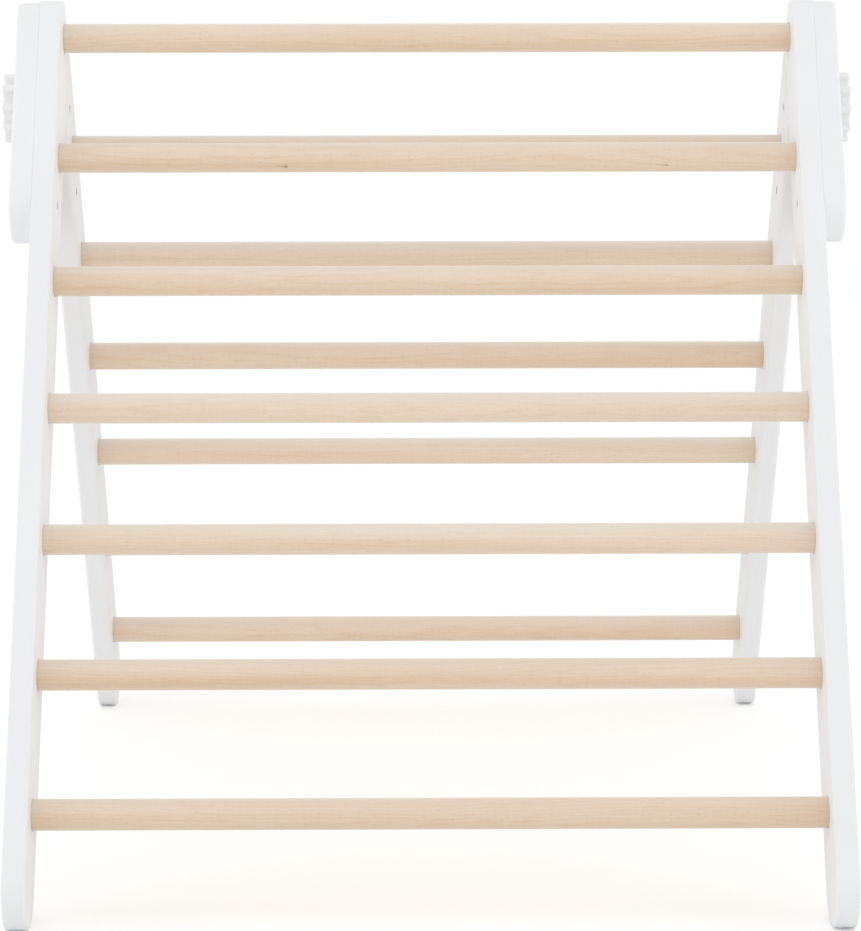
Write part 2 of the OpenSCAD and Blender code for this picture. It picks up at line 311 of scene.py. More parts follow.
half = boards["width"] / 2
frontEdge = edgeAt(frontOut, frontRungs[0], half)
frontBack = edgeAt(-frontOut, frontRungs[0], half)
rearSlope = edgeAt(rearOut, rearRungs[0], half)
rearInner = edgeAt(-rearOut, rearRungs[0], half)
mitre = edgeAt(frontOut, frontRungs[0], -half - boards["mitreGap"])
up = Vector((0, 1))
headTop = (up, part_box("right_hinge_plate")[1].z)
railTop = (up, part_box("front_right_rail")[1].z)
plateFoot = (-up, -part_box("right_hinge_plate")[0].z)


def footDisc(rail, rung, down):
    # The round foot, on the line of the rungs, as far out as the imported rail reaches
    low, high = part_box(rail)
    y = low.y + half if down.x < 0 else high.y - half
    return (rung + down * ((y - rung.x) / down.x), half)


pivotPoint = sidePoint("pivot_washers")
plateBoltPoint = sidePoint("plate_bolts")
knobPoint = sidePoint("right_knob_stud")

frontDiscs = [
    footDisc("front_right_rail", frontRungs[0], frontDown),
    cornerDisc(rearSlope, frontBack, boards["mitreRadius"]),
    cornerDisc(railTop, rearSlope, boards["headRadius"]),
    cornerDisc(frontEdge, railTop, boards["headRadius"]),
]
rearDiscs = [
    footDisc("rear_right_rail", rearRungs[0], rearDown),
    cornerDisc(rearSlope, mitre, boards["mitreRadius"]),
    cornerDisc(mitre, rearInner, boards["mitreRadius"]),
]
plateDiscs = [
    cornerDisc(frontEdge, plateFoot, boards["plateFootRadius"]),
    cornerDisc(plateFoot, rearSlope, boards["plateFootRadius"]),
    cornerDisc(rearSlope, headTop, boards["headRadius"]),
    cornerDisc(headTop, frontEdge, boards["headRadius"]),
]


def boardSpan(node):
    low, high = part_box(node)
    return low.x, high.x - low.x


def notchCutter(side, faceX, thickness):
    # Ring sector about the pivot, from the knob's axis out through the rear edge
    arm = knobPoint - pivotPoint
    start = math.atan2(arm.y, arm.x)
    halfWidth, steps = holes["notchHalfWidth"], holes["notchSteps"]
    turns = [start - holes["notchSweep"] * k / steps for k in range(steps + 1)]
    path = [(arm.length + halfWidth, turn) for turn in turns]
    path += [(arm.length - halfWidth, turn) for turn in reversed(turns)]
    points = [pivotPoint + Vector((math.cos(turn), math.sin(turn))) * reach for reach, turn in path]
    for k in range(1, steps):           # round end of the notch, at the knob's axis
        turn = start - math.pi * (1 + k / steps)
        points.append(knobPoint + Vector((math.cos(turn), math.sin(turn))) * halfWidth)
    shape = bmesh.new()
    rings = []
    for depth in (-holes["cutMargin"], thickness + holes["cutMargin"]):
        x = sideSigns[side] * (faceX + depth)
        rings.append([shape.verts.new((x, point.x, point.y)) for point in points])
    bridge(shape, *rings)
    for ring in rings:
        shape.faces.new(ring)
    return newObject("notchCutter", shape)


def makeBoards():
    made = []
    for side in sideSigns:
        faceX, thickness = boardSpan("front_right_rail")
        drilled = [
            (rung, socketProfile(thickness, headed=k > 1)) for k, rung in enumerate(frontRungs)
        ]
        drilled.append((plateBoltPoint, insertProfile(thickness)))
        edges = ("edge", "seam")
        rail = boardShape(f"{side}FrontRail", side, faceX, thickness, frontDiscs, drilled, edges)
        made.append((rail, "front_ladder", f"front_{side}_rail"))

        faceX, thickness = boardSpan("rear_right_rail")
        drilled = [(rung, socketProfile(thickness, headed=True)) for rung in rearRungs]
        drilled.append((pivotPoint, insertProfile(thickness)))
        drilled.append((knobPoint, insertProfile(thickness)))
        edges = ("edge", "edge")
        rail = boardShape(f"{side}RearRail", side, faceX, thickness, rearDiscs, drilled, edges)
        made.append((rail, "rear_ladder", f"rear_{side}_rail"))

        faceX, thickness = boardSpan("right_hinge_plate")
        drilled = [
            (rung, [(0.0, holes["screwRadius"])] + screwHoleEnd(thickness, True))
            for rung in frontRungs[:2]
        ]
        drilled.append((plateBoltPoint, plainProfile(thickness, holes["boltRadius"])))
        drilled.append((pivotPoint, plainProfile(thickness, holes["pivotRadius"])))
        edges = ("seam", "edge")
        plate = boardShape(f"{side}HingePlate", side, faceX, thickness, plateDiscs, drilled, edges)
        cutter = notchCutter(side, faceX, thickness)
        cut = plate.modifiers.new("notch", "BOOLEAN")
        cut.operation = "DIFFERENCE"
        cut.solver = "EXACT"
        cut.object = cutter
        freeze(plate)
        bpy.data.objects.remove(cutter)
        made.append((plate, "front_ladder", f"{side}_hinge_plate"))
    for board, body, node in made:
        board.data.materials.append(paint)
        board.data.materials.append(bareWood)
        smoothEdges(board, boards["sharpAngle"])
        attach(board, body)
        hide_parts(node)


# Turned pieces lie along X, with their outer end at x = 0

def roundForm(radius, angle, x):
    return radius


def hexForm(radius, angle, x):
    step = math.pi / 3
    return radius / math.cos((angle + step / 2) % step - step / 2)


def threadForm(pitch, depth):
    def form(radius, angle, x):
        return radius - depth * (0.5 - 0.5 * math.cos(2 * math.pi * x / pitch - angle))
    return form


def turned(profile, segments):
    shape = bmesh.new()
    rings = []
    for x, radius, form in profile:
        if radius == 0:
            rings.append([shape.verts.new((x, 0, 0))])
            continue
        ring = []
        for k in range(segments):
            angle = 2 * math.pi * k / segments
            r = form(radius, angle, x)
            ring.append(shape.verts.new((x, r * math.cos(angle), r * math.sin(angle))))
        rings.append(ring)
    for first, second in zip(rings, rings[1:]):
        bridge(shape, first, second)
    return shape


def threadProfile(start, stop, radius, pitch, depth):
    rings = round((stop - start) / pitch * turnedPieces["threadSteps"])
    form = threadForm(pitch, depth)
    return [(start + (stop - start) * k / rings, radius, form) for k in range(rings + 1)]


def dowelShape(halfLength):
    r, c, bore = dowel["radius"], dowel["chamfer"], holes["screwRadius"]
    end = [(dowel["pilotDepth"], 0), (dowel["pilotDepth"], bore), (0.0, bore), (0.0, r - c), (c, r)]
    profile = [(-halfLength + x, radius, roundForm) for x, radius in end]
    profile += [(halfLength - x, radius, roundForm) for x, radius in reversed(end)]
    return turned(profile, dowel["segments"])


def screwShape(length):
    s = woodScrew
    sink = s["headRadius"] - s["radius"]
    shank = s["radius"] - s["threadDepth"] / 2
    across, deep = s["socketAcross"] / 2, -s["socketDepth"]
    threadStart, threadStop = -length + s["taperLength"], -length * s["threadStop"]
    profile = [(-length, 0, roundForm), (-length + s["pointLength"], s["pointRadius"], roundForm)]
    profile += threadProfile(threadStart, threadStop, s["radius"], s["pitch"], s["threadDepth"])
    profile += [(-length * s["shankStop"], shank, roundForm), (-sink - s["neck"], shank, roundForm)]
    profile += [(-sink, s["radius"], roundForm), (-s["rim"], s["headRadius"], roundForm)]
    profile += [(0.0, s["headRadius"] - s["rim"], roundForm), (0.0, across, hexForm)]
    profile += [(deep, across, hexForm), (deep - s["socketCone"], 0, roundForm)]
    return turned(profile, s["segments"])


def boltShape(length):
    b = machineBolt
    tip = -length
    threadStop = tip + b["threadLength"]
    profile = [(tip, 0, roundForm), (tip, b["radius"] - b["tipChamfer"], roundForm)]
    profile += threadProfile(
        tip + b["tipChamfer"], threadStop, b["radius"], b["pitch"], b["threadDepth"]
    )
    profile += [(threadStop + b["pitch"], b["radius"], roundForm)]
    profile += [(-b["headHeight"], radius, roundForm) for radius in (b["radius"], b["headRadius"])]
    for k in range(b["rimSteps"] + 1):
        angle = math.pi / 2 * k / b["rimSteps"]
        x = -b["rimRadius"] * (1 - math.sin(angle))
        profile.append((x, b["headRadius"] - b["rimRadius"] * (1 - math.cos(angle)), roundForm))
    across, deep = b["socketAcross"] / 2, -b["socketDepth"]
    profile += [(0.0, across + b["socketRim"], hexForm), (-b["socketRim"], across, hexForm)]
    profile += [(deep, across, hexForm), (deep - b["socketCone"], 0, roundForm)]
    return turned(profile, b["segments"])


def studShape(length):
    b = machineBolt
    profile = [(-length, 0, roundForm), (-length, b["radius"] - b["tipChamfer"], roundForm)]
    profile += threadProfile(
        -length + b["tipChamfer"], -b["tipChamfer"], b["radius"], b["pitch"], b["threadDepth"]
    )
    profile += [(0.0, b["radius"] - b["tipChamfer"], roundForm), (0.0, 0, roundForm)]
    return turned(profile, b["segments"])


# Geometry nodes: a row of copies of one piece, on one side or on both

def feed(tree, node, inputs):
    for name, value in inputs.items():
        if isinstance(value, bpy.types.NodeSocket):
            tree.links.new(value, node.inputs[name])
        else:
            node.inputs[name].default_value = value


def addNode(tree, kind, inputs=None, **settings):
    node = tree.nodes.new(kind)
    for name, value in settings.items():
        setattr(node, name, value)
    feed(tree, node, inputs or {})
    return node


def buildRowTree():
    tree = bpy.data.node_groups.new("rowOfCopies", "GeometryNodeTree")
    wanted = [
        ("Piece", "NodeSocketObject"), ("Count", "NodeSocketInt"),
        ("First Place", "NodeSocketVector"), ("Step", "NodeSocketVector"),
        ("Both Sides", "NodeSocketBool"), ("Turn Share", "NodeSocketFloat"),
        ("Seed", "NodeSocketInt"), ("Finish", "NodeSocketMaterial"),
    ]
    for name, kind in wanted:
        tree.interface.new_socket(name, in_out="INPUT", socket_type=kind)
    tree.interface.new_socket("Geometry", in_out="OUTPUT", socket_type="NodeSocketGeometry")
    given = tree.nodes.new("NodeGroupInput").outputs
    row = {"Count": given["Count"], "Offset": given["Step"]}
    right = addNode(
        tree, "GeometryNodeMeshLine", {**row, "Start Location": given["First Place"]}, mode="OFFSET"
    )
    mirrored = addNode(
        tree, "ShaderNodeVectorMath", {0: given["First Place"], 1: (-1, 1, 1)}, operation="MULTIPLY"
    )
    left = addNode(
        tree, "GeometryNodeMeshLine", {**row, "Start Location": mirrored.outputs[0]}, mode="OFFSET"
    )
    chosen = addNode(
        tree, "GeometryNodeSwitch", {"Switch": given["Both Sides"], "True": left.outputs[0]},
        input_type="GEOMETRY",
    )
    points = tree.nodes.new("GeometryNodeJoinGeometry")
    tree.links.new(chosen.outputs[0], points.inputs[0])
    tree.links.new(right.outputs[0], points.inputs[0])
    position = tree.nodes.new("GeometryNodeInputPosition")
    chance = addNode(
        tree, "FunctionNodeRandomValue", {"Seed": given["Seed"]}, data_type="FLOAT"
    )
    fullTurn = addNode(
        tree, "ShaderNodeMath", {0: chance.outputs[1], 1: 2 * math.pi}, operation="MULTIPLY"
    )
    turn = addNode(
        tree, "ShaderNodeMath", {0: fullTurn.outputs[0], 1: given["Turn Share"]}, operation="MULTIPLY"
    )
    flow = points.outputs[0]
    stored = [
        ("copyPlace", "FLOAT_VECTOR", position.outputs[0]),
        ("copyTurn", "FLOAT", turn.outputs[0]),
        ("copyChance", "FLOAT", chance.outputs[1]),
    ]
    for name, kind, value in stored:
        flow = addNode(
            tree, "GeometryNodeStoreNamedAttribute",
            {"Geometry": flow, "Name": name, "Value": value}, data_type=kind, domain="POINT",
        ).outputs[0]
    x = addNode(tree, "ShaderNodeSeparateXYZ", {0: position.outputs[0]}).outputs[0]
    # A row in the middle plane, as the rungs are, isn't turned round
    onLeft = addNode(tree, "ShaderNodeMath", {0: x, 1: -1e-6}, operation="LESS_THAN")
    flip = addNode(tree, "ShaderNodeMath", {0: onLeft.outputs[0], 1: math.pi}, operation="MULTIPLY")
    savedTurn = addNode(
        tree, "GeometryNodeInputNamedAttribute", {"Name": "copyTurn"}, data_type="FLOAT"
    )
    rotation = addNode(
        tree, "ShaderNodeCombineXYZ", {0: savedTurn.outputs[0], 2: flip.outputs[0]}
    )
    source = addNode(tree, "GeometryNodeObjectInfo", {"Object": given["Piece"]})
    copies = addNode(
        tree, "GeometryNodeInstanceOnPoints",
        {"Points": flow, "Instance": source.outputs["Geometry"], "Rotation": rotation.outputs[0]},
    )
    real = addNode(tree, "GeometryNodeRealizeInstances", {0: copies.outputs[0]})
    finished = addNode(
        tree, "GeometryNodeSetMaterial", {"Geometry": real.outputs[0], "Material": given["Finish"]}
    )
    result = tree.nodes.new("NodeGroupOutput")
    tree.links.new(finished.outputs[0], result.inputs[0])
    return tree


def makeRow(name, shape, body, nodes, finish, values):
    source = newObject(f"{name}Source", shape)
    holder = bpy.data.objects.new(name, bpy.data.meshes.new(name))
    bpy.context.scene.collection.objects.link(holder)
    rows = holder.modifiers.new("rows", "NODES")
    rows.node_group = rowTree
    ids = {
        item.name: item.identifier
        for item in rowTree.interface.items_tree
        if item.item_type == "SOCKET" and item.in_out == "INPUT"
    }
    given = {"Piece": source, "Finish": finish, "Both Sides": False, "Turn Share": 1.0, **values}
    for key, value in given.items():
        rows[ids[key]] = value
    freeze(holder)
    bpy.data.objects.remove(source)
    smoothEdges(holder, turnedPieces["sharpAngle"])
    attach(holder, body)
    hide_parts(*nodes)


def atSide(x, point):
    return (x, point.x, point.y)


def stepBetween(points):
    step = (points[-1] - points[0]) / (len(points) - 1)
    return (0.0, step.x, step.y)


def makeRungs():
    ladders = [
        ("frontRungs", "front_ladder", "front_rung", frontRungs, dowel["frontSeed"]),
        ("rearRungs", "rear_ladder", "rear_rung", rearRungs, dowel["rearSeed"]),
    ]
    for name, body, stem, rungs, seed in ladders:
        nodes = [f"{stem}_{k + 1}" for k in range(len(rungs))]
        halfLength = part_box(nodes[0])[1].x
        values = {
            "Count": len(rungs), "First Place": atSide(0.0, rungs[0]),
            "Step": stepBetween(rungs), "Seed": seed,
        }
        makeRow(name, dowelShape(halfLength), body, nodes, beech, values)


def makeScrews():
    rows = [
        ("frontRungScrews", "front_ladder", "front_rung_screws", frontRungs[2:], "length", 11),
        ("plateScrews", "front_ladder", "plate_screws", frontRungs[:2], "plateLength", 12),
        ("rearRungScrews", "rear_ladder", "rear_rung_screws", rearRungs, "length", 13),
    ]
    for name, body, node, places, size, seed in rows:
        values = {
            "Count": len(places), "First Place": atSide(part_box(node)[1].x, places[0]),
            "Step": stepBetween(places), "Both Sides": True, "Seed": seed,
        }
        makeRow(name, screwShape(woodScrew[size]), body, [node], steel, values)


def makeBolts():
    rows = [
        ("plateBolts", "front_ladder", "plate_bolts", plateBoltPoint, "front_right_rail", 31),
        ("pivotBolts", "rear_ladder", "pivot_bolts", pivotPoint, "rear_right_rail", 32),
    ]
    for name, body, node, place, rail, seed in rows:
        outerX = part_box(node)[1].x
        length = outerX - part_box(rail)[0].x - machineBolt["tipRecess"]
        values = {
            "Count": 1, "First Place": atSide(outerX, place), "Step": (0, 0, 0),
            "Both Sides": True, "Seed": seed,
        }
        makeRow(name, boltShape(length), body, [node], steel, values)


# Knobs

def lobedOutline(inset):
    # Lobes and valleys are arcs that touch, so an inset only changes their radii
    step = math.pi / knob["lobes"]
    lobe, tip = knob["lobeRadius"], knob["radius"]
    lobeAt, floor = tip - lobe, tip - knob["lobeDepth"]
    valley = lobeAt ** 2 + floor ** 2 - 2 * lobeAt * floor * math.cos(step) - lobe ** 2
    valley /= 2 * (lobe - floor + lobeAt * math.cos(step))
    valleyAt = floor + valley
    touch = math.atan2(valleyAt * math.sin(step), valleyAt * math.cos(step) - lobeAt)
    points = []
    for k in range(knob["lobes"]):
        out = 2 * k * step
        for j in range(knob["lobeSteps"] + 1):
            turn = out + touch * (2 * j / knob["lobeSteps"] - 1)
            away = Vector((math.cos(turn), math.sin(turn))) * (lobe - inset)
            points.append(Vector((math.cos(out), math.sin(out))) * lobeAt + away)
        out += step
        halfSweep = touch - step        # of the valley's arc
        for j in range(1, knob["valleySteps"]):
            turn = out + math.pi + halfSweep * (1 - 2 * j / knob["valleySteps"])
            away = Vector((math.cos(turn), math.sin(turn))) * (valley + inset)
            points.append(Vector((math.cos(out), math.sin(out))) * valleyAt + away)
    return points


def ringPoints(radius):
    turns = [2 * math.pi * k / knob["roundSegments"] for k in range(knob["roundSegments"])]
    return [Vector((math.cos(turn), math.sin(turn))) * radius for turn in turns]


def knobShape(sign, hubX, phase):
    shape = bmesh.new()

    def ringAt(depth, points):
        ring = []
        for p in points:
            y = knobPoint.x - (p.x * math.cos(phase) - p.y * math.sin(phase))
            z = knobPoint.y + p.x * math.sin(phase) + p.y * math.cos(phase)
            ring.append(shape.verts.new((sign * (hubX + depth), y, z)))
        return ring

    def surface(levels):
        rings = [ringAt(depth, points) for depth, points in levels]
        for first, second in zip(rings, rings[1:]):
            bridge(shape, first, second)
        return rings[0], rings[-1]

    k = knob
    hubEdge = quarterRound(k["hubEdge"], k["hubEdge"], k["hubEdgeSteps"])
    fillet = k["hubFillet"]
    hub = [(k["boreDepth"], 0), (k["boreDepth"], k["boreRadius"]), (k["boreRim"], k["boreRadius"])]
    hub += [(0.0, k["boreRadius"] + k["boreRim"])]
    hub += [(depth, k["hubRadius"] - inset) for depth, inset in hubEdge]
    hub += [(k["hubLength"] - depth, k["hubRadius"] + fillet - depth) for depth in (fillet, 0.0)]
    top = k["hubLength"] + k["headThickness"]
    rim = quarterRound(k["rimRadius"], k["rimRadius"], k["rimSteps"])
    lobes = [(k["hubLength"] + depth, inset) for depth, inset in rim]
    lobes += [(top - depth, inset) for depth, inset in reversed(rim)]
    dish = k["dishEdge"] + [(k["dishDepth"] - height, more) for height, more in k["dishFillet"]]
    dish += [(k["dishDepth"], None)]
    centre = [Vector((0, 0))]
    back = surface([(x, ringPoints(r) if r else centre) for x, r in hub])[1]
    first, last = surface([(x, lobedOutline(inset)) for x, inset in lobes])
    front = surface([
        (top - depth, centre if more is None else ringPoints(k["dishRadius"] + more))
        for depth, more in dish
    ])[0]
    capLoops(shape, [first, back])
    capLoops(shape, [last, front])
    return shape


def makeKnobs():
    for side, sign in sideSigns.items():
        low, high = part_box(f"{side}_knob")
        hubX = low.x if sign > 0 else -high.x
        shape = knobShape(sign, hubX, math.radians(knob["angles"][side]))
        piece = newObject(f"{side}Knob", shape)
        piece.data.materials.append(knobPlastic)
        smoothEdges(piece, knob["sharpAngle"])
        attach(piece, f"{side}_clamp_knob")
        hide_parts(f"{side}_knob")

        low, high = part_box(f"{side}_knob_stud")
        stud = newObject(f"{side}KnobStud", studShape(high.x - low.x))
        outerX = high.x if sign > 0 else -low.x
        place = Matrix.Translation((sign * outerX, knobPoint.x, knobPoint.y))
        if sign < 0:
            place = place @ Matrix.Rotation(math.pi, 4, "Z")
        stud.data.transform(place)
        stud.data.materials.append(steel)
        smoothEdges(stud, knob["sharpAngle"])
        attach(stud, f"{side}_clamp_knob")
        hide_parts(f"{side}_knob_stud")


# Materials

def newGroup(name, inputs, outputs):
    group = bpy.data.node_groups.new(name, "ShaderNodeTree")
    for label, kind, value in inputs:
        socket = group.interface.new_socket(label, in_out="INPUT", socket_type=kind)
        if value is not None:
            socket.default_value = value
    for label, kind in outputs:
        group.interface.new_socket(label, in_out="OUTPUT", socket_type=kind)
    return group, group.nodes.new("NodeGroupInput").outputs, group.nodes.new("NodeGroupOutput").inputs


def useGroup(tree, group, inputs):
    node = tree.nodes.new("ShaderNodeGroup")
    node.node_tree = group
    feed(tree, node, inputs)
    return node.outputs


def stretched(tree, vector, scale):
    return addNode(tree, "ShaderNodeMapping", {"Vector": vector, "Scale": scale}).outputs[0]


def noise(tree, vector, scale, detail=2.0, roughness=0.5):
    values = {"Vector": vector, "Scale": scale, "Detail": detail, "Roughness": roughness}
    return addNode(tree, "ShaderNodeTexNoise", values).outputs["Fac"]


def ranged(tree, value, low, high, newLow, newHigh):
    values = {"Value": value, "From Min": low, "From Max": high, "To Min": newLow, "To Max": newHigh}
    return addNode(tree, "ShaderNodeMapRange", values).outputs[0]


def mixColours(tree, share, first, second):
    # Inputs 6 and 7 and output 2 are the node's colours
    values = {0: share, 6: first, 7: second}
    return addNode(tree, "ShaderNodeMix", values, data_type="RGBA").outputs[2]


def maths(tree, operation, first, second=0.0):
    return addNode(tree, "ShaderNodeMath", {0: first, 1: second}, operation=operation).outputs[0]


def colour(red, green, blue):
    # From a screen value of 0 to 255 to Blender's linear colour
    def linear(value):
        share = value / 255
        return share / 12.92 if share <= 0.04045 else ((share + 0.055) / 1.055) ** 2.4
    return (linear(red), linear(green), linear(blue), 1.0)


def buildSurfaceGroup():
    # Slow wander of tone and a fine skin, for paint, plastic and metal
    group, given, result = newGroup(
        "surfaceSkin",
        [("Vector", "NodeSocketVector", None), ("Slow Scale", "NodeSocketFloat", 9.0),
         ("Fine Scale", "NodeSocketFloat", 900.0)],
        [("Slow", "NodeSocketFloat"), ("Fine", "NodeSocketFloat")],
    )
    slow = noise(group, given["Vector"], given["Slow Scale"], detail=3.0)
    fine = noise(group, given["Vector"], given["Fine Scale"])
    group.links.new(slow, result["Slow"])
    group.links.new(fine, result["Fine"])
    return group


# Noise scales are (along, across, across) to the metre
grain = {
    "fibre": (45, 700, 700),
    "band": (2.2, 60, 60),
    "drift": (3.0, 16, 16),
    "wander": 0.014,            # metres by which the rings drift to and fro
    "pithAway": 0.034,          # the pith lies outside the dowel
    "ringSpacing": 0.0034,
    "lateFrom": 0.35,           # shares of one ring, where late wood begins and is darkest
    "lateFull": 0.85,
    "fleckCells": (150, 1100, 1100),
    "fleckCore": (0.14, 0.36),
    "fleckFrom": 0.6,           # the share of the cells that stay without a fleck
    "fleckShare": 0.32,
    "bandShare": 0.44,          # what each gives to the tone
    "fibreShare": 0.38,
    "lateShare": 0.09,
    "chanceShare": 0.20,
    "toneSpan": (0.32, 0.76),   # tones of the lightest and the darkest colour
    "spread": 40.0,             # metres between the palest and the darkest rung's grain
}


def buildGrainGroup():
    # Beech: fibre lines, growth rings about an offset pith, and short dark flecks, all along X
    group, given, result = newGroup(
        "beechGrain",
        [("Place", "NodeSocketVector", None), ("Turn", "NodeSocketFloat", 0.0),
         ("Chance", "NodeSocketFloat", 0.0), ("Light", "NodeSocketColor", (1, 1, 1, 1)),
         ("Dark", "NodeSocketColor", (0, 0, 0, 1)), ("Fleck", "NodeSocketColor", (0, 0, 0, 1)),
         ("Ring Spacing", "NodeSocketFloat", grain["ringSpacing"])],
        [("Colour", "NodeSocketColor"), ("Height", "NodeSocketFloat"), ("Tone", "NodeSocketFloat")],
    )
    turnedPlace = addNode(
        group, "ShaderNodeVectorRotate", {"Vector": given["Place"], "Angle": given["Turn"]},
        rotation_type="X_AXIS",
    ).outputs[0]
    along = maths(group, "MULTIPLY", given["Chance"], grain["spread"])
    shift = addNode(group, "ShaderNodeCombineXYZ", {0: along})
    place = addNode(
        group, "ShaderNodeVectorMath", {0: turnedPlace, 1: shift.outputs[0]}, operation="ADD"
    ).outputs[0]
    fibre = noise(
        group, stretched(group, place, grain["fibre"]), 1.0, detail=3.0, roughness=0.65
    )
    band = noise(group, stretched(group, place, grain["band"]), 1.0)
    drift = noise(group, stretched(group, place, grain["drift"]), 1.0)
    apart = addNode(group, "ShaderNodeSeparateXYZ", {0: turnedPlace})
    wander = ranged(group, drift, 0.0, 1.0, -grain["wander"], grain["wander"])
    across = maths(group, "ADD", apart.outputs[1], wander)
    across = maths(group, "ADD", across, grain["pithAway"])
    squareSum = maths(
        group, "ADD", maths(group, "MULTIPLY", across, across),
        maths(group, "MULTIPLY", apart.outputs[2], apart.outputs[2]),
    )
    ringCount = maths(group, "DIVIDE", maths(group, "SQRT", squareSum), given["Ring Spacing"])
    growth = maths(group, "FRACT", ringCount)
    lateWood = ranged(group, growth, grain["lateFrom"], grain["lateFull"], 0.0, 1.0)
    lateWood = maths(group, "MULTIPLY", lateWood, lateWood)
    lateEnd = ranged(group, growth, grain["lateFull"], 1.0, 1.0, 0.0)
    lateWood = maths(group, "MULTIPLY", lateWood, lateEnd)
    fleckCells = addNode(
        group, "ShaderNodeTexVoronoi",
        {"Vector": stretched(group, place, grain["fleckCells"]), "Scale": 1.0},
    )
    fleckCore = ranged(group, fleckCells.outputs["Distance"], *grain["fleckCore"], 1.0, 0.0)
    fleckPick = addNode(group, "ShaderNodeSeparateColor", {0: fleckCells.outputs["Color"]})
    fleckOn = maths(group, "GREATER_THAN", fleckPick.outputs[0], grain["fleckFrom"])
    fleck = maths(group, "MULTIPLY", fleckCore, fleckOn)
    tone = maths(group, "MULTIPLY", band, grain["bandShare"])
    tone = maths(group, "ADD", tone, maths(group, "MULTIPLY", fibre, grain["fibreShare"]))
    tone = maths(group, "ADD", tone, maths(group, "MULTIPLY", lateWood, grain["lateShare"]))
    chance = maths(group, "MULTIPLY", given["Chance"], grain["chanceShare"])
    tone = maths(group, "ADD", tone, chance)
    toneSpread = ranged(group, tone, *grain["toneSpan"], 0.0, 1.0)
    base = mixColours(group, toneSpread, given["Light"], given["Dark"])
    flecked = mixColours(
        group, maths(group, "MULTIPLY", fleck, grain["fleckShare"]), base, given["Fleck"]
    )
    group.links.new(flecked, result["Colour"])
    group.links.new(fibre, result["Height"])
    group.links.new(toneSpread, result["Tone"])
    return group


noiseSpan = (0.3, 0.7)      # where nearly all values of a noise lie


def newMaterial(name, shader):
    material = bpy.data.materials.new(name)
    material.use_nodes = True
    tree = material.node_tree
    surface = tree.nodes["Principled BSDF"]
    for socket, value in shader.items():
        surface.inputs[socket].default_value = value
    place = tree.nodes.new("ShaderNodeTexCoord").outputs["Object"]
    return material, tree, surface, place


def addBump(tree, surface, height, strength, distance):
    values = {"Height": height, "Strength": strength, "Distance": distance}
    bump = addNode(tree, "ShaderNodeBump", values)
    tree.links.new(bump.outputs[0], surface.inputs["Normal"])


def skinMaterial(name):
    look = finishes[name]
    material, tree, surface, place = newMaterial(name, look["shader"])
    skin = useGroup(
        tree, skinGroup, {"Vector": place, "Slow Scale": look["slow"], "Fine Scale": look["fine"]}
    )
    shade = ranged(tree, skin["Slow"], *noiseSpan, 0.0, 1.0)
    tree.links.new(mixColours(tree, shade, look["first"], look["second"]), surface.inputs["Base Color"])
    rough = ranged(tree, skin["Slow"], *noiseSpan, *look["roughness"])
    tree.links.new(rough, surface.inputs["Roughness"])
    addBump(tree, surface, skin["Fine"], look["bump"], look["bumpDepth"])
    return material


beechLook = {
    "shader": {"IOR": 1.5, "Sheen Weight": 0.7, "Sheen Roughness": 0.45},
    "light": colour(241, 223, 204),
    "dark": colour(224, 195, 161),
    "fleck": colour(188, 156, 122),
    "paintedSheen": colour(234, 229, 222),      # painted sheen: the tops of the rungs painted paler and greyer, as light from above makes them
    "paintedSheenShare": (0.62, 0.28),          # on the palest and on the darkest rung
    "paintedSheenFrom": -0.1,                   # in radii above the rung's axis
    # painted shade: the rungs darken and warm towards their ends, where the rails shade them
    "end": colour(200, 166, 130),
    "endShadeShare": 0.19,
    "endShadeReach": (0.350, 0.377),         # from the middle: where the painted shade at an end begins and where it is full
    "roughness": (0.46, 0.54),
    "bump": 0.25,
    "bumpDepth": 0.00008,
    "knot": colour(128, 100, 76),
    "knotRagged": 0.3,                  # in radii of the knot
    "knotScale": 900.0,
    "knotEdge": (0.4, 1.1),             # in radii: whole within the first, gone at the second
    "knots": [                          # middle, half length, half height, share
        ((-0.1452, -0.0752, 0.6896), 0.0029, 0.0030, 0.50),
        ((-0.1500, -0.0754, 0.6898), 0.0070, 0.0017, 0.26),
        ((0.2440, -0.0757, 0.6902), 0.0034, 0.0009, 0.60),
        ((0.2370, -0.0760, 0.6906), 0.0070, 0.0008, 0.22),
    ],
}


def knotShare(tree, place, wobble, knot):
    middle, halfLength, halfHeight, share = knot
    away = addNode(tree, "ShaderNodeVectorMath", {0: place, 1: middle}, operation="SUBTRACT").outputs[0]
    size = (1 / halfLength, 1 / halfHeight, 1 / halfHeight)
    reach = addNode(
        tree, "ShaderNodeVectorMath", {0: stretched(tree, away, size)}, operation="LENGTH"
    ).outputs["Value"]
    return ranged(tree, maths(tree, "ADD", reach, wobble), *beechLook["knotEdge"], share, 0.0)


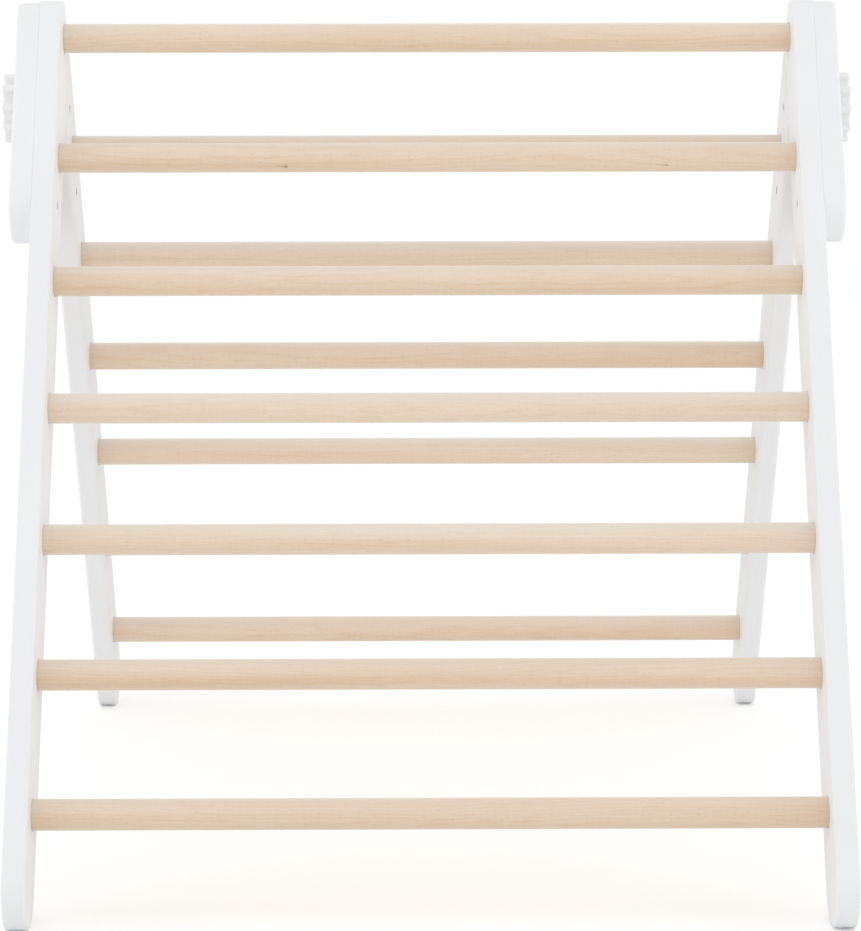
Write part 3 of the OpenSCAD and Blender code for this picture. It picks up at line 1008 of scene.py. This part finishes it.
def beechMaterial():
    look = beechLook
    material, tree, surface, place = newMaterial("beech", look["shader"])
    saved = addNode(tree, "ShaderNodeAttribute", attribute_name="copyPlace").outputs["Vector"]
    turn = addNode(tree, "ShaderNodeAttribute", attribute_name="copyTurn").outputs["Fac"]
    chance = addNode(tree, "ShaderNodeAttribute", attribute_name="copyChance").outputs["Fac"]
    local = addNode(tree, "ShaderNodeVectorMath", {0: place, 1: saved}, operation="SUBTRACT").outputs[0]
    figure = useGroup(tree, grainGroup, {
        "Place": local, "Turn": turn, "Chance": chance, "Light": look["light"],
        "Dark": look["dark"], "Fleck": look["fleck"],
    })
    apart = addNode(tree, "ShaderNodeSeparateXYZ", {0: local}).outputs
    height = maths(tree, "DIVIDE", apart[2], dowel["radius"])
    # Painted sheen: the top of each rung is painted paler, fading out just below its axis
    paintedSheenShare = ranged(tree, chance, 0.0, 1.0, *look["paintedSheenShare"])
    paintedSheen = maths(tree, "MULTIPLY", ranged(tree, height, look["paintedSheenFrom"], 1.0, 0.0, 1.0), paintedSheenShare)
    toned = mixColours(tree, paintedSheen, figure["Colour"], look["paintedSheen"])
    # Painted shade: each rung darkens towards its ends, next to the rails
    end = ranged(tree, maths(tree, "ABSOLUTE", apart[0]), *look["endShadeReach"], 0.0, 1.0)
    end = maths(tree, "MULTIPLY", maths(tree, "MULTIPLY", end, end), look["endShadeShare"])
    toned = mixColours(tree, end, toned, look["end"])
    ragged = look["knotRagged"]
    wobble = ranged(tree, noise(tree, place, look["knotScale"]), *noiseSpan, -ragged, ragged)
    for knot in look["knots"]:
        toned = mixColours(tree, knotShare(tree, place, wobble, knot), toned, look["knot"])
    tree.links.new(toned, surface.inputs["Base Color"])
    rough = ranged(tree, figure["Tone"], 0.0, 1.0, *look["roughness"])
    tree.links.new(rough, surface.inputs["Roughness"])
    addBump(tree, surface, figure["Height"], look["bump"], look["bumpDepth"])
    return material


# Each finish wanders between two colours. Its slow and fine noises have scales to the metre.
finishes = {
    "whitePaint": {
        "shader": {"IOR": 1.48, "Specular IOR Level": 0.3},
        "first": colour(244, 245, 247), "second": colour(241, 242, 243),
        "slow": 7.0, "fine": 420.0, "roughness": (0.44, 0.52),
        "bump": 0.12, "bumpDepth": 0.00005,
    },
    "bareWood": {
        "shader": {"IOR": 1.5},
        "first": colour(227, 223, 216), "second": colour(214, 209, 201),
        "slow": 160.0, "fine": 1500.0, "roughness": (0.65, 0.8),
        "bump": 0.3, "bumpDepth": 0.0001,
    },
    "knobPlastic": {
        "shader": {"IOR": 1.5},
        "first": colour(245, 245, 245), "second": colour(241, 241, 240),
        "slow": 60.0, "fine": 2600.0, "roughness": (0.38, 0.46),
        "bump": 0.15, "bumpDepth": 0.00003,
    },
    "nylon": {
        "shader": {"IOR": 1.53},
        "first": colour(236, 235, 228), "second": colour(226, 225, 216),
        "slow": 120.0, "fine": 2000.0, "roughness": (0.45, 0.55),
        "bump": 0.1, "bumpDepth": 0.00003,
    },
    "zincPlatedSteel": {
        "shader": {"Metallic": 1.0},
        "first": colour(205, 207, 212), "second": colour(186, 188, 194),
        "slow": 240.0, "fine": 3000.0, "roughness": (0.24, 0.38),
        "bump": 0.12, "bumpDepth": 0.00002,
    },
    "dieCastZinc": {
        "shader": {"Metallic": 1.0},
        "first": colour(176, 172, 160), "second": colour(150, 146, 134),
        "slow": 300.0, "fine": 2200.0, "roughness": (0.42, 0.55),
        "bump": 0.2, "bumpDepth": 0.00004,
    },
}

skinGroup = buildSurfaceGroup()
grainGroup = buildGrainGroup()
beech = beechMaterial()
paint = skinMaterial("whitePaint")
bareWood = skinMaterial("bareWood")
knobPlastic = skinMaterial("knobPlastic")
nylon = skinMaterial("nylon")
steel = skinMaterial("zincPlatedSteel")
zinc = skinMaterial("dieCastZinc")
print("stage 2: materials ready")

rowTree = buildRowTree()
makeBoards()
print("stage 3: rails and hinge plates ready")
makeRungs()
print("stage 4: rungs ready")
makeScrews()
makeBolts()
makeKnobs()
print("stage 5: screws, bolts and knobs ready")

keptFinishes = {
    "front_inserts": zinc, "rear_inserts": zinc, "pivot_washers": steel, "spacer_washers": nylon,
    "left_knob_washer": steel, "right_knob_washer": steel,
}
for node, finish in keptFinishes.items():
    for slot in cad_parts[node].material_slots:
        slot.material = finish

# Floor, light and camera

studio = {
    "floorRadius": 6.0,
    "floorSegments": 96,
    "floorColour": 0.95,
    "floorLift": 0.18,      # seen by the camera only, so that the floor reads as white
    "ambient": 0.85,        # the world's strength, which is 1 where it is seen
    "aim": (0.0, 0.0, 0.45),
    "sidePlace": (4.0, -1.2, 1.1),
    "sideSize": 3.0,
    "sidePower": 27.0,
    "topPlace": (-0.6, -1.2, 3.6),
    "topSize": 1.6,
    "topPower": 3.2,
}
lens = {
    "place": (-0.015096, -3.299125, 0.915739),
    "pitch": 0.163647,      # turns in radians
    "yaw": 0.0060472,
    "roll": 0.0016782,
    "pixels": 3148.16,      # focal length
    "centre": (432.32, 461.77),
    "image": (861, 931),
    "sensor": 36.0,         # millimetres
    "farthest": 100.0,
}


def makeFloor():
    shape = bmesh.new()
    segments, radius = studio["floorSegments"], studio["floorRadius"]
    bmesh.ops.create_circle(shape, cap_ends=True, segments=segments, radius=radius)
    floor = newObject("floor", shape)
    material = bpy.data.materials.new("paleFloor")
    material.use_nodes = True
    tree = material.node_tree
    tree.nodes.clear()
    pale = studio["floorColour"]
    matt = addNode(tree, "ShaderNodeBsdfDiffuse", {"Color": (pale, pale, pale, 1)})
    path = tree.nodes.new("ShaderNodeLightPath")
    lift = maths(tree, "MULTIPLY", path.outputs["Is Camera Ray"], studio["floorLift"])
    glow = addNode(tree, "ShaderNodeEmission", {"Strength": lift})
    both = addNode(tree, "ShaderNodeAddShader", {0: matt.outputs[0], 1: glow.outputs[0]})
    surface = tree.nodes.new("ShaderNodeOutputMaterial")
    tree.links.new(both.outputs[0], surface.inputs["Surface"])
    floor.data.materials.append(material)


def makeWorld():
    world = bpy.data.worlds.new("studio")
    bpy.context.scene.world = world
    world.use_nodes = True
    tree = world.node_tree
    background = tree.nodes["Background"]
    background.inputs["Color"].default_value = (1, 1, 1, 1)
    path = tree.nodes.new("ShaderNodeLightPath")
    seen = maths(tree, "MAXIMUM", path.outputs["Is Camera Ray"], path.outputs["Is Glossy Ray"])
    seen = maths(tree, "MAXIMUM", seen, path.outputs["Is Transmission Ray"])
    tree.links.new(ranged(tree, seen, 0.0, 1.0, studio["ambient"], 1.0), background.inputs["Strength"])


def makeLamp(name, place, size, power):
    lamp = bpy.data.lights.new(name, "AREA")
    lamp.shape = "SQUARE"
    lamp.size = size
    lamp.energy = power
    holder = bpy.data.objects.new(name, lamp)
    bpy.context.scene.collection.objects.link(holder)
    holder.location = place
    way = Vector(studio["aim"]) - Vector(place)
    holder.rotation_euler = way.to_track_quat("-Z", "Y").to_euler()


def makeCamera():
    camera = bpy.data.objects.new("camera", bpy.data.cameras.new("camera"))
    bpy.context.scene.collection.objects.link(camera)
    pitch, yaw, roll = lens["pitch"], lens["yaw"], lens["roll"]
    ahead = Vector((math.sin(yaw) * math.cos(pitch), math.cos(yaw) * math.cos(pitch), -math.sin(pitch)))
    level = Vector((math.cos(yaw), -math.sin(yaw), 0))
    below = ahead.cross(level)
    right = level * math.cos(roll) + below * math.sin(roll)
    down = below * math.cos(roll) - level * math.sin(roll)
    turn = Matrix((right, -down, -ahead)).transposed().to_4x4()
    camera.matrix_world = Matrix.Translation(lens["place"]) @ turn
    wide, high = lens["image"]
    long = max(wide, high)
    camera.data.sensor_width = lens["sensor"]
    camera.data.lens = lens["sensor"] * lens["pixels"] / long
    camera.data.shift_x = (wide / 2 - lens["centre"][0]) / long
    camera.data.shift_y = (lens["centre"][1] - high / 2) / long
    camera.data.clip_end = lens["farthest"]
    bpy.context.scene.camera = camera


makeFloor()
makeWorld()
x, y, z = studio["sidePlace"]
for side, sign in sideSigns.items():
    makeLamp(f"{side}Lamp", (sign * x, y, z), studio["sideSize"], studio["sidePower"])
makeLamp("topLamp", studio["topPlace"], studio["topSize"], studio["topPower"])
makeCamera()
bpy.context.scene.view_settings.view_transform = "Standard"
print("stage 6: floor, light and camera ready")

print("stage 7: done")
